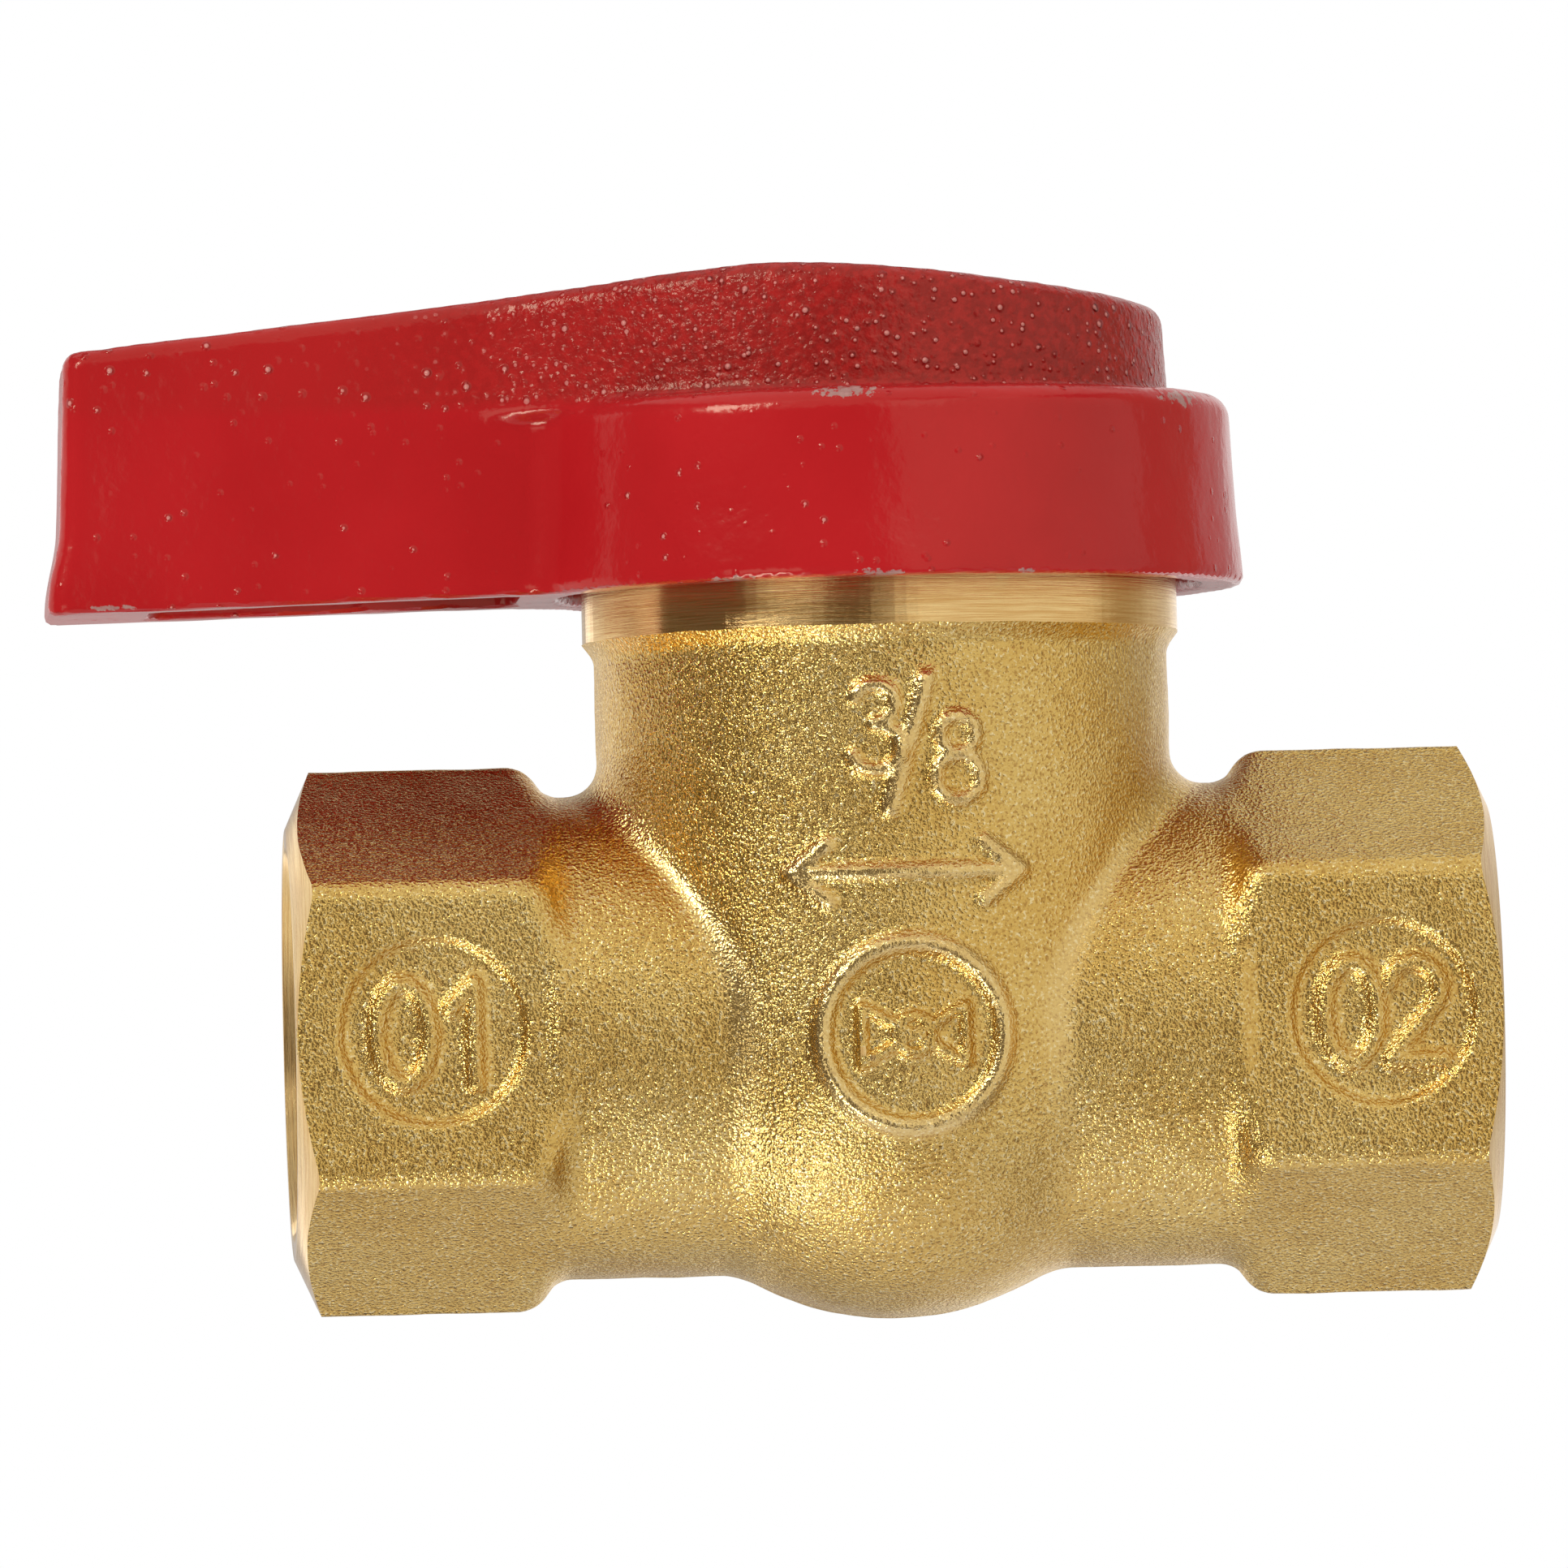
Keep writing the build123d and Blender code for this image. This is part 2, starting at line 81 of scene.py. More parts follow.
# outside of the forging
END_X = BODY_HIGH[0]
FRONT_FLAT_Y = MOUNTS["inlet_wrench_flat"]["pos_m"][1] / MM
HALF_FLATS = 10.5  # of the four sloping flats
NECK_R = -BODY_LOW[2]
BARREL_R = 10.65
BARREL_END_X = 15.3
SQUEEZE = 0.945  # the forging is a little thinner from front to back than it is tall
SQUEEZE_END_Z = 8.0  # above this the neck eases back to round
CREASE_R = (0.5, 1.5)  # fillet where the neck meets the barrel, at the front and at the top
CREASE_Z = (6.0, 10.5)  # between these heights the fillet grows
FLARE = 0.8
FLARE_Z = (16.5, 18.1)  # the flare is cut off at BAND_Z
HEX_INNER_R = 11.4
HEX_INNER_X = 14.0
HEX_SLOPE_X = 15.6  # where the slope is HEX_INNER_R from the pipe's line
HEX_SLOPE = math.radians(54)
HEX_CORNER_R = 0.25  # rounding of the corners above and below
HEX_EDGE_R = 0.6  # rounding of the front and back flats' edges and of the slope's
PARTING = (0.05, 0.3)  # height and half width of the parting line's ridge

# machined places
BAND_R = BODY_HIGH[1]
BAND_Z = 17.45
FACE_R = 9.6
CHAMFER_SLOPE = 0.45
CHAMFER_REACH = 16.0  # radius at which the end chamfers clear the hexagon
OUTSIDE_R = 40.0  # well outside everything
THREAD_R = MOUNTS["inlet_port"]["dims"]["r_mm"]
THREAD_LENGTH = 10.4
THREAD_TAPER = 1 / 32
THREAD_DEPTH = 1.0
PITCH = 1.411
ROWS_PER_TURN = 12  # rows of points along each turn of the thread
MOUTH_R = 8.8
PORT_R = 4.3
DRILL_POINT = 1.6
CHAMBER_R = 10.25
SEAT_FACE_X = 8.3
BONNET_SEAT_Z = 13.0
BONNET_BORE_R = BONNET_HIGH[0] + 0.05
RIM_CHAMFER = 0.4
STOP_TOP_Z = BODY_HIGH[2]
STOP_HEIGHT = 2.2
RIM_Z = STOP_TOP_Z - STOP_HEIGHT
STOP_BORE_R = 11.3
STOP_ARC = (35.6, 144.4)  # the gap that the handle's rib turns in, in degrees

# outside of the handle
HANDLE_Z = HANDLE_LOW[2]
SKIRT_FOOT_R = HANDLE_HIGH[1]
SKIRT_LEDGE_R = SKIRT_FOOT_R - 0.4
SKIRT_EDGE_R = 1.0
LEDGE_Z = 27.85
TIER_R = 13.05
TIER_DRAFT = 0.06
TIER_BLEND = 7.0  # fillet between the round tier and the blade
TOP_EDGE_R = 0.7
TIP_X = HANDLE_LOW[0] + 0.45
TIP_TOP_X = TIP_X + 0.5
TIP_EDGE_R = 1.0
TIP_DROP = 0.4
LIP = 0.45
BLADE_ROOT_X = -15.4
BLADE_ROOT_HALF = 6.05
BLADE_TIP_HALF = 4.75
BLADE_DRAFT = 0.018
TOP_TIP = (TIP_TOP_X, 30.7)
TOP_END = (13.2, 31.72)
TOP_LEFT_SLOPE = math.tan(math.radians(5.6))
TOP_RIGHT_SLOPE = math.tan(math.radians(6.9))
CREST_SOFTNESS = 0.4

# inside of the handle
WALL = 1.8
ROOF = 2.2
TIP_WALL = 4.2
TIP_WALL_DRAFT = 0.25
INNER_EDGE_R = 0.8
HUB_R = 7.3
HUB_Z = 22.4
RECESS_R = 5.2
RECESS_Z = 28.9
RIB_ANGLE = math.radians(135)
RIB_HALF_WIDTH = 1.8
RIB_REACH = 11.3
STEM_SQUARE = 6.06

FORGED_VOXEL = 0.205
CAST_VOXEL = 0.29
SMOOTH_ANGLE = math.radians(32)
GRAIN_SCALE = 7.0  # grains per millimetre on the forging
CREASE_HIGHLIGHT_HALF_WIDTH = 0.4  # half the width of the painted highlight strip along each crease
CREASE_HIGHLIGHT_Z = (-7.0, 3.0)  # between these heights the painted highlight fades in

# ---- distance fields ----------------------------------------------------------------------


def union(a, b, r):
    """The union of two fields, with a fillet of radius r where they meet."""
    return np.maximum(r, np.minimum(a, b)) - np.hypot(np.maximum(r - a, 0), np.maximum(r - b, 0))


def meet(a, b, r):
    """The intersection of two fields, with its edge rounded to radius r."""
    return np.minimum(-r, np.maximum(a, b)) + np.hypot(np.maximum(r + a, 0), np.maximum(r + b, 0))


def cut(a, b, r):
    """Field a with b taken away, with the edge rounded to radius r."""
    return meet(a, -b, r)


def smooth_step(low, high, value):
    """0 below low, 1 above high, and a smooth S between."""
    t = np.clip((value - low) / (high - low), 0, 1)
    return t * t * (3 - 2 * t)


def ripple(x, y, z, wavelength):
    """A soft, uneven wave between about -1 and 1, for surfaces that aren't quite flat."""
    k = 2 * math.pi / wavelength
    first = np.sin(k * (x + 0.31 * y) + 1.7 * np.sin(0.61 * k * z))
    second = np.sin(k * (0.93 * y - 0.37 * z) + 1.3 * np.sin(0.53 * k * x))
    third = np.sin(k * (0.71 * z + 0.59 * x) + 2.1 * np.sin(0.47 * k * y))
    return (first + second + third) / 3


# ---- raised marks on the front of the forging ---------------------------------------------


def arc(centre_u, centre_v, radius_u, radius_v, start, end, steps=14):
    """Points along an arc of an ellipse, with angles in degrees."""
    points = []
    for i in range(steps + 1):
        a = math.radians(start + (end - start) * i / steps)
        points.append((centre_u + radius_u * math.cos(a), centre_v + radius_v * math.sin(a)))
    return points


# strokes of each figure, in a box of height 1
FIGURES = {
    "0": [arc(0.28, 0.5, 0.26, 0.48, 0, 360)],
    "1": [[(0.1, 0.74), (0.33, 0.97), (0.33, 0.02)]],
    "2": [arc(0.28, 0.71, 0.25, 0.26, 165, -35) + [(0.03, 0.03), (0.56, 0.03)]],
    "3": [arc(0.22, 0.76, 0.24, 0.22, 160, -90), arc(0.22, 0.27, 0.28, 0.26, 90, -160)],
    "8": [arc(0.28, 0.76, 0.21, 0.21, 0, 360), arc(0.28, 0.28, 0.26, 0.26, 0, 360)],
}


def figure(name, left, foot, height):
    """The strokes of one figure, placed on the front."""
    return [[(left + u * height, foot + v * height) for u, v in s] for s in FIGURES[name]]


def number(text, lefts):
    """The strokes of a number on a hexagon, from the left side of each figure."""
    strokes = []
    for name, left in zip(text, lefts):
        strokes += figure(name, left, NUMBER_FOOT, NUMBER_HEIGHT)
    return strokes


def circle(centre_u, centre_v, radius):
    """One round stroke."""
    return [arc(centre_u, centre_v, radius, radius, 0, 360, 40)]


def valve_sign(u, v):
    """The drawing sign of a ball valve: two triangles and a circle."""
    bow = [(-2.3, -1.25), (-2.3, 1.25), (2.3, -1.25), (2.3, 1.25), (-2.3, -1.25)]
    return [[(u + a, v + b) for a, b in bow]] + circle(u, v, 0.8)


def flow_arrow(u, v):
    """A double-ended arrow: the valve may be piped either way round."""
    head = [(-3.5, 1.25), (-5.1, 0.0), (-3.5, -1.25)]
    left = [(u + a, v + b) for a, b in head]
    right = [(u - a, v + b) for a, b in head]
    return [left, right, [(u - 5.0, v), (u + 5.0, v)]]


LEFT_MARK = (-20.6, 0.1)
RIGHT_MARK = (21.3, 0.0)
CENTRE_MARK = (0.45, -0.6)
NUMBER_FOOT = -2.3
NUMBER_HEIGHT = 4.6
SIZE_HEIGHT = 3.9  # of the figures in the size mark

# (strokes, half width, height) of each mark
MARKS = [
    (number("01", (-23.2, -20.3)), 0.7, 0.44),
    (number("02", (18.6, 21.4)), 0.7, 0.44),
    (figure("3", -1.85, 11.0, SIZE_HEIGHT) + figure("8", 1.6, 9.6, SIZE_HEIGHT), 0.52, 0.34),
    ([[(-0.35, 9.4), (1.3, 15.0)]], 0.72, 0.42),
    (flow_arrow(0.3, 6.6), 0.62, 0.36),
    (valve_sign(*CENTRE_MARK), 0.45, 0.38),
    (circle(*CENTRE_MARK, 4.1), 0.7, 0.42),
]

# (centre, radius, depth) of each sunk round panel
PANELS = [(LEFT_MARK, 4.25, 0.42), (RIGHT_MARK, 4.2, 0.42), (CENTRE_MARK, 3.7, 0.25)]


def stroke_distance(u, v, points):
    """The distance from each (u, v) to a line through the points."""
    best = np.full(u.shape, 1e6)
    for (au, av), (bu, bv) in zip(points, points[1:]):
        du, dv = bu - au, bv - av
        along = np.clip(((u - au) * du + (v - av) * dv) / (du * du + dv * dv), 0, 1)
        best = np.minimum(best, (u - au - along * du) ** 2 + (v - av - along * dv) ** 2)
    return np.sqrt(best)


def relief(u, v):
    """How far the marks stand out of the front, seen square on."""
    height = np.zeros(u.shape)
    for (centre_u, centre_v), radius, depth in PANELS:
        away = np.hypot(u - centre_u, v - centre_v)
        height -= depth * (1 - smooth_step(radius - 0.5, radius + 0.1, away))
    for strokes, half_width, rise in MARKS:
        away = np.full(u.shape, 1e6)
        for points in strokes:
            away = np.minimum(away, stroke_distance(u, v, points))
        height += rise * (1 - smooth_step(0, half_width, away))
    return height


# ---- the forging --------------------------------------------------------------------------


def neck_and_barrel(x, y, z):
    """The fields of the neck, with the sphere under it, and of the barrel along the pipe."""
    neck_r = NECK_R + FLARE * smooth_step(*FLARE_Z, z)
    squeeze = SQUEEZE + (1 - SQUEEZE) * smooth_step(SQUEEZE_END_Z, BAND_Z, z)
    neck = np.hypot(np.hypot(x, y / squeeze), np.minimum(z, 0)) - neck_r
    barrel = np.hypot(y / SQUEEZE, z) - BARREL_R
    return neck, meet(barrel, np.abs(x) - BARREL_END_X, 0.4)


def forging(x, y, z, marks):
    """The body's outside before machining. marks is the relief at each (x, z)."""
    out = np.abs(x)
    from_pipe = np.hypot(y, z)
    neck, barrel = neck_and_barrel(x, y, z)
    tall = z * math.sqrt(0.75)
    flats = [np.abs(y), np.abs(y / 2 + tall), np.abs(y / 2 - tall)]
    hexagon = meet(flats[1] - HALF_FLATS, flats[2] - HALF_FLATS, HEX_CORNER_R)
    hexagon = meet(hexagon, flats[0] - FRONT_FLAT_Y, HEX_EDGE_R)
    from_slope = (from_pipe - HEX_INNER_R) * math.cos(HEX_SLOPE)
    slope = from_slope - (out - HEX_SLOPE_X) * math.sin(HEX_SLOPE)
    hexagon = meet(hexagon, slope, HEX_EDGE_R)
    hexagon = meet(hexagon, HEX_INNER_X - out, 0)
    crease = CREASE_R[0] + (CREASE_R[1] - CREASE_R[0]) * smooth_step(*CREASE_Z, z)
    body = union(union(neck, barrel, crease), hexagon, 0.5)
    parting = PARTING[0] * np.exp(-((y / PARTING[1]) ** 2))
    uneven = 0.025 * ripple(x, y, z, 3.1) + 0.006 * ripple(z, x, y, 0.9)
    return body - np.where(y < 0, marks, 0) - parting + uneven


def forging_at(points):
    """The forging's field at a list of points."""
    x, y, z = points.T
    return forging(x, y, z, relief(x, z))


def forging_grid(x, y, z):
    """The forging's field on a grid."""
    marks = relief(*np.meshgrid(x, z, indexing="ij"))
    grid = np.meshgrid(x, y, z, indexing="ij", sparse=True)
    return forging(*grid, marks[:, None, :])


# ---- the handle casting -------------------------------------------------------------------


def top_z(x):
    """The height of the handle's top line: a long rise, a round crest and a short fall."""
    rise = TOP_TIP[1] + (x - TOP_TIP[0]) * TOP_LEFT_SLOPE
    fall = TOP_END[1] + (TOP_END[0] - x) * TOP_RIGHT_SLOPE
    return -CREST_SOFTNESS * np.logaddexp(-rise / CREST_SOFTNESS, -fall / CREST_SOFTNESS)


def blade_half_width(x, z):
    """Half the blade's width, wider at its root and at its foot."""
    along = np.clip((x - TIP_X) / (BLADE_ROOT_X - TIP_X), 0, 1.3)
    width = BLADE_TIP_HALF + (BLADE_ROOT_HALF - BLADE_TIP_HALF) * along**1.6
    return width + BLADE_DRAFT * (LEDGE_Z - z)


def foot_z(x):
    """The height of the handle's foot, which drops a little towards the tip."""
    return HANDLE_Z - TIP_DROP * smooth_step(-SKIRT_FOOT_R + 4, HANDLE_LOW[0] - 6, x)


def foot_lip(z):
    """How far the lip along the blade's foot stands out."""
    return LIP * (1 - smooth_step(HANDLE_Z + 0.3, HANDLE_Z + 3.6, z))


def casting_outside(x, y, z):
    """The handle's outer shape: the skirt, the blade and the tier above them."""
    from_stem = np.hypot(x, y)
    lip = foot_lip(z)
    skirt = meet(from_stem - skirt_radius(z) - 0.25 * lip, z - LEDGE_Z, SKIRT_EDGE_R)
    tip = TIP_X + (TIP_TOP_X - TIP_X) * (z - HANDLE_Z) / (TOP_TIP[1] - HANDLE_Z) - x - lip
    blade = meet(np.abs(y) - blade_half_width(x, z) - 0.15 * lip, tip, TIP_EDGE_R)
    blade = meet(blade, x, 0)
    tier = from_stem - TIER_R + TIER_DRAFT * (z - LEDGE_Z)
    above = smooth_step(LEDGE_Z - 1.0, LEDGE_Z - 0.2, z)
    sides = blade + (union(tier, blade, TIER_BLEND) - blade) * above
    upper = meet(sides, roof_field(x, z), TOP_EDGE_R)
    outside = union(skirt, upper, 1.0 - 0.5 * above)
    return meet(outside, foot_z(x) - z, 0.35)


def skirt_radius(z):
    """The skirt's radius, which grows towards its foot."""
    return SKIRT_LEDGE_R + (SKIRT_FOOT_R - SKIRT_LEDGE_R) * (LEDGE_Z - z) / (LEDGE_Z - HANDLE_Z)


def roof_field(x, z):
    """The distance above the top line, allowing for its slope."""
    return (z - top_z(x)) * 0.99


def casting_hollow(x, y, z):
    """The cup over the neck and the pocket under the blade."""
    from_stem = np.hypot(x, y)
    ceiling = z - top_z(x) + ROOF
    cup_top = LEDGE_Z - ROOF + 0.2
    cup = meet(from_stem - (skirt_radius(z) - WALL - 0.05), z - cup_top, INNER_EDGE_R)
    above = meet(from_stem - (TIER_R - WALL - 0.2), ceiling, INNER_EDGE_R)
    inner_side = np.abs(y) - (blade_half_width(x, z) - WALL)
    inner_tip = TIP_X + TIP_WALL + TIP_WALL_DRAFT * (z - HANDLE_Z) - x
    pocket = meet(inner_side, inner_tip, 1.2)
    pocket = meet(pocket, ceiling, INNER_EDGE_R)
    pocket = meet(pocket, x + SKIRT_FOOT_R, INNER_EDGE_R)
    return np.minimum(union(cup, above, 0.3), pocket)


def hub_and_rib(x, y, z):
    """The hub round the stem and the rib that meets the body's stops."""
    hub = meet(np.hypot(x, y) - HUB_R, HUB_Z - z, 0.2)
    along = x * math.cos(RIB_ANGLE) + y * math.sin(RIB_ANGLE)
    across = np.abs(-x * math.sin(RIB_ANGLE) + y * math.cos(RIB_ANGLE))
    rib = meet(meet(across - RIB_HALF_WIDTH, RIB_REACH - along, 0.2), HUB_Z - z, 0.2)
    return union(hub, rib, 0.1)


def casting(x, y, z):
    """The handle's field, inside and out."""
    outside = casting_outside(x, y, z)
    body = cut(outside, casting_hollow(x, y, z), 0.3)
    inside = meet(hub_and_rib(x, y, z), meet(outside, roof_field(x, z), 0) + 0.4, 0)
    body = union(body, inside, 0.6)
    recess = meet(np.hypot(x, y) - RECESS_R, RECESS_Z - z, 0.2)
    body = cut(body, recess, 0.35)
    rough = smooth_step(LEDGE_Z - 0.5, LEDGE_Z + 0.8, z)
    uneven = 0.02 * ripple(x, y, z, 4.1) + 0.02 * rough * ripple(z, x, y, 1.1)
    return body + uneven


def casting_at(points):
    """The casting's field at a list of points."""
    return casting(*points.T)


def casting_grid(x, y, z):
    """The casting's field on a grid."""
    return casting(*np.meshgrid(x, y, z, indexing="ij", sparse=True))


# ---- meshes -------------------------------------------------------------------------------


def settle(points, field_at, reach):
    """Moves mesh points onto the field's surface, by at most reach."""
    start = points.copy()
    step = 0.02
    for _ in range(3):
        value = field_at(points)
        slope = np.empty_like(points)
        for axis in range(3):
            shift = np.zeros(3)
            shift[axis] = step
            slope[:, axis] = (field_at(points + shift) - field_at(points - shift)) / (2 * step)
        size = np.maximum((slope**2).sum(1), 0.2)
        points = points - slope * (value / size)[:, None]
        points = start + np.clip(points - start, -reach, reach)
    return points


def mesh_from_field(name, grid_field, field_at, low, high, voxel):
    """A closed mesh of the surface where a field is zero."""
    axes = [np.arange(a, b + voxel, voxel) for a, b in zip(low, high)]
    values = grid_field(*axes).astype(np.float32)
    grid = openvdb.FloatGrid(background=float(values.max()))
    grid.copyFromArray(values)
    points, quads = grid.convertToQuads(isovalue=0.0)
    points = points * voxel + np.array(low)
    points = settle(points, field_at, 0.6 * voxel)
    return new_mesh(name, points, quads[:, ::-1])


def new_mesh(name, points, faces):
    """A Blender object from points in millimetres and faces."""
    mesh = bpy.data.meshes.new(name)
    faces = faces.tolist() if isinstance(faces, np.ndarray) else faces
    mesh.from_pydata((np.asarray(points) * MM).tolist(), [], faces)
    mesh.validate()
    piece = bpy.data.objects.new(name, mesh)
    bpy.context.scene.collection.objects.link(piece)
    return piece


def turned(name, profile, axis="Z", segments=160, wobble=None):
    """A closed turned solid. profile is (position along the axis, radius) from end to end.

    wobble, if given, adds to the radius at each position and angle, as a thread does.
    """
    along = np.array([p[0] for p in profile])
    radius = np.array([p[1] for p in profile])
    angles = np.linspace(0, 2 * math.pi, segments, endpoint=False)
    rows = radius[:, None] + np.zeros(segments)
    if wobble:
        rows = rows + wobble(along[:, None], radius[:, None], angles[None, :])
    first, second = rows * np.cos(angles), rows * np.sin(angles)
    third = along[:, None] + np.zeros(segments)
    order = {"Z": (first, second, third), "X": (third, first, second)}[axis]
    points = np.stack([part.ravel() for part in order], axis=1)
    ends = [[0, 0, along[0]], [0, 0, along[-1]]]
    if axis == "X":
        ends = [[along[0], 0, 0], [along[-1], 0, 0]]
    points = np.vstack([points, ends])
    faces = []
    for row in range(len(along) - 1):
        for i in range(segments):
            j = (i + 1) % segments
            a, b = row * segments, (row + 1) * segments
            faces.append((a + i, a + j, b + j))
            faces.append((a + i, b + j, b + i))
    last = (len(along) - 1) * segments
    for i in range(segments):
        j = (i + 1) % segments
        faces.append((len(points) - 2, j, i))
        faces.append((len(points) - 1, last + i, last + j))
    return new_mesh(name, points, faces)


def block(name, low, high):
    """A closed box between two corners."""
    corners = list(itertools.product(*zip(low, high)))
    faces = [(0, 1, 3, 2), (4, 6, 7, 5), (0, 4, 5, 1), (2, 3, 7, 6), (0, 2, 6, 4), (1, 5, 7, 3)]
    return new_mesh(name, corners, faces)


def combine(piece, tool, how):
    """Applies one tool to a piece (INTERSECT, DIFFERENCE or UNION) and removes the tool."""
    modifier = piece.modifiers.new("cut", "BOOLEAN")
    modifier.operation = how
    modifier.solver = "MANIFOLD"
    modifier.object = tool
    graph = bpy.context.evaluated_depsgraph_get()
    graph.update()
    result = bpy.data.meshes.new_from_object(piece.evaluated_get(graph))
    old = piece.data
    piece.modifiers.clear()
    piece.data = result
    bpy.data.meshes.remove(old)
    tool_mesh = tool.data
    bpy.data.objects.remove(tool)
    bpy.data.meshes.remove(tool_mesh)


def shade(piece):
    """Smooth shading, kept sharp at machined edges."""
    piece.data.shade_smooth()
    piece.data.set_sharp_from_angle(angle=SMOOTH_ANGLE)


def taper_radius(along):
    """The plain bore's radius, which narrows inwards as a pipe thread does."""
    return THREAD_R - (END_X - along) * THREAD_TAPER


def thread(along, radius, angle):
    """The 3/8 NPT thread's depth over the plain bore, at the end that faces +X."""
    turn = (along / PITCH - angle / (2 * math.pi)) % 1.0
    ridge = np.clip((1 - np.abs(2 * turn - 1) - 0.08) / 0.84, 0, 1)
    inner = END_X - THREAD_LENGTH
    fade = smooth_step(inner, inner + 1.2 * PITCH, along)
    on_thread = (along > inner) & (along < END_X + 0.5)
    widening = taper_radius(along) + THREAD_DEPTH * ridge * fade
    return np.where(on_thread, np.maximum(widening, radius) - radius, 0.0)


def port_profile():
    """The port's tool, from inside the chamber to beyond the end face."""
    floor_x = END_X - THREAD_LENGTH
    points = [(SEAT_FACE_X - 1.0, PORT_R), (floor_x - DRILL_POINT, PORT_R)]
    steps = int(THREAD_LENGTH / PITCH * ROWS_PER_TURN)
    for i in range(steps + 1):
        x = floor_x + THREAD_LENGTH * i / steps
        mouth = MOUTH_R - (END_X - x)
        points.append((x, max(taper_radius(x), mouth)))
    points.append((END_X + 1.5, MOUTH_R + 1.5))
    return points


def make_body():
    """The forged and machined valve body."""
    low = (-END_X - 1.2, -BAND_R - 1.2, -NECK_R - 1.0)
    high = (END_X + 1.2, BAND_R + 1.2, STOP_TOP_Z + 1.5)
    body = mesh_from_field("forged_body", clipped_forging, forging_at, low, high, FORGED_VOXEL)
    combine(body, turned("ends", ends_profile(), "X"), "INTERSECT")
    band = [(-OUTSIDE_R, OUTSIDE_R), (BAND_Z - 0.05, OUTSIDE_R), (BAND_Z, BAND_R)]
    band += [(STOP_TOP_Z - RIM_CHAMFER, BAND_R), (STOP_TOP_Z, BAND_R - RIM_CHAMFER)]
    combine(body, turned("band", band), "INTERSECT")
    for sign in (1, -1):
        tool = turned("port", port_profile(), "X", 120, thread)
        if sign < 0:
            tool.data.transform(Matrix.Rotation(math.pi, 4, "Z"))
        combine(body, tool, "DIFFERENCE")
    ball_space = turned("chamber", chamber_profile())
    limits = block("limits", (-SEAT_FACE_X, -20, -20), (SEAT_FACE_X, 20, 20))
    combine(ball_space, limits, "INTERSECT")
    combine(body, ball_space, "DIFFERENCE")
    combine(body, turned("bore", spread(bonnet_bore_profile())), "DIFFERENCE")
    combine(body, stop_gap(), "DIFFERENCE")
    return body


def ends_profile():
    """What the end faces and their chamfers leave, along the pipe."""
    chamfer_x = END_X - (CHAMFER_REACH - FACE_R) * CHAMFER_SLOPE
    right = [(chamfer_x - 1, OUTSIDE_R), (chamfer_x, CHAMFER_REACH), (END_X, FACE_R)]
    left = [(-x, radius) for x, radius in reversed(right)]
    return left + right


def bonnet_bore_profile():
    """The bonnet's bore, from the chamber to above the stops."""
    return [
        (BONNET_LOW[2] - 0.4, CHAMBER_R),
        (BONNET_SEAT_Z, CHAMBER_R),
        (BONNET_SEAT_Z, BONNET_BORE_R),
        (RIM_Z - RIM_CHAMFER, BONNET_BORE_R),
        (RIM_Z, BONNET_BORE_R + RIM_CHAMFER),
        (RIM_Z, STOP_BORE_R),
        (STOP_TOP_Z + 2, STOP_BORE_R),
    ]


def clipped_forging(x, y, z):
    """The forging's grid, closed just inside the edge of the grid."""
    values = forging_grid(x, y, z)
    end = np.abs(x)[:, None, None] - (END_X + 0.6)
    top = z[None, None, :] - (STOP_TOP_Z + 0.8)
    return np.maximum(np.maximum(values, end), top)


def spread(profile):
    """Moves repeated positions slightly apart, so that a turned face has two edges."""
    least = 1e-4
    points = []
    for position, radius in profile:
        if points and position <= points[-1][0]:
            position = points[-1][0] + least
        points.append((position, radius))
    return points


def chamber_profile():
    """A round space with a domed floor."""
    points = []
    steps = 24
    for i in range(1, steps + 1):
        a = math.pi / 2 * (1 - i / steps)
        points.append((-CHAMBER_R * math.sin(a), CHAMBER_R * math.cos(a)))
    return points + [(BONNET_SEAT_Z, CHAMBER_R)]


def stop_gap():
    """The wedge milled out of the rim, where the handle's rib turns."""
    start, end = (math.radians(a) for a in STOP_ARC)
    steps = 6
    reach = 24.0
    rays = [start + (end - start) * i / steps for i in range(steps + 1)]
    ring = [(0.0, 0.0)] + [(reach * math.cos(a), reach * math.sin(a)) for a in rays]
    count = len(ring)
    points = [(x, y, RIM_Z) for x, y in ring] + [(x, y, STOP_TOP_Z + 3) for x, y in ring]
    faces = [list(range(count))[::-1], list(range(count, 2 * count))]
    for i in range(count):
        j = (i + 1) % count
        faces.append((i, j, count + j, count + i))
    return new_mesh("gap", points, faces)


def make_handle():
    """The cast lever handle."""
    low = (TIP_X - LIP - 1.0, -SKIRT_FOOT_R - 1.0, HANDLE_Z - 1.0)
    high = (SKIRT_FOOT_R + 1.0, SKIRT_FOOT_R + 1.0, HANDLE_HIGH[2] + 1.2)
    handle = mesh_from_field("lever_handle", casting_grid, casting_at, low, high, CAST_VOXEL)
    half = STEM_SQUARE / 2
    square = block("square", (-half, -half, HUB_Z - 2), (half, half, RECESS_Z + 1))
    combine(handle, square, "DIFFERENCE")
    return handle


# ---- materials ----------------------------------------------------------------------------


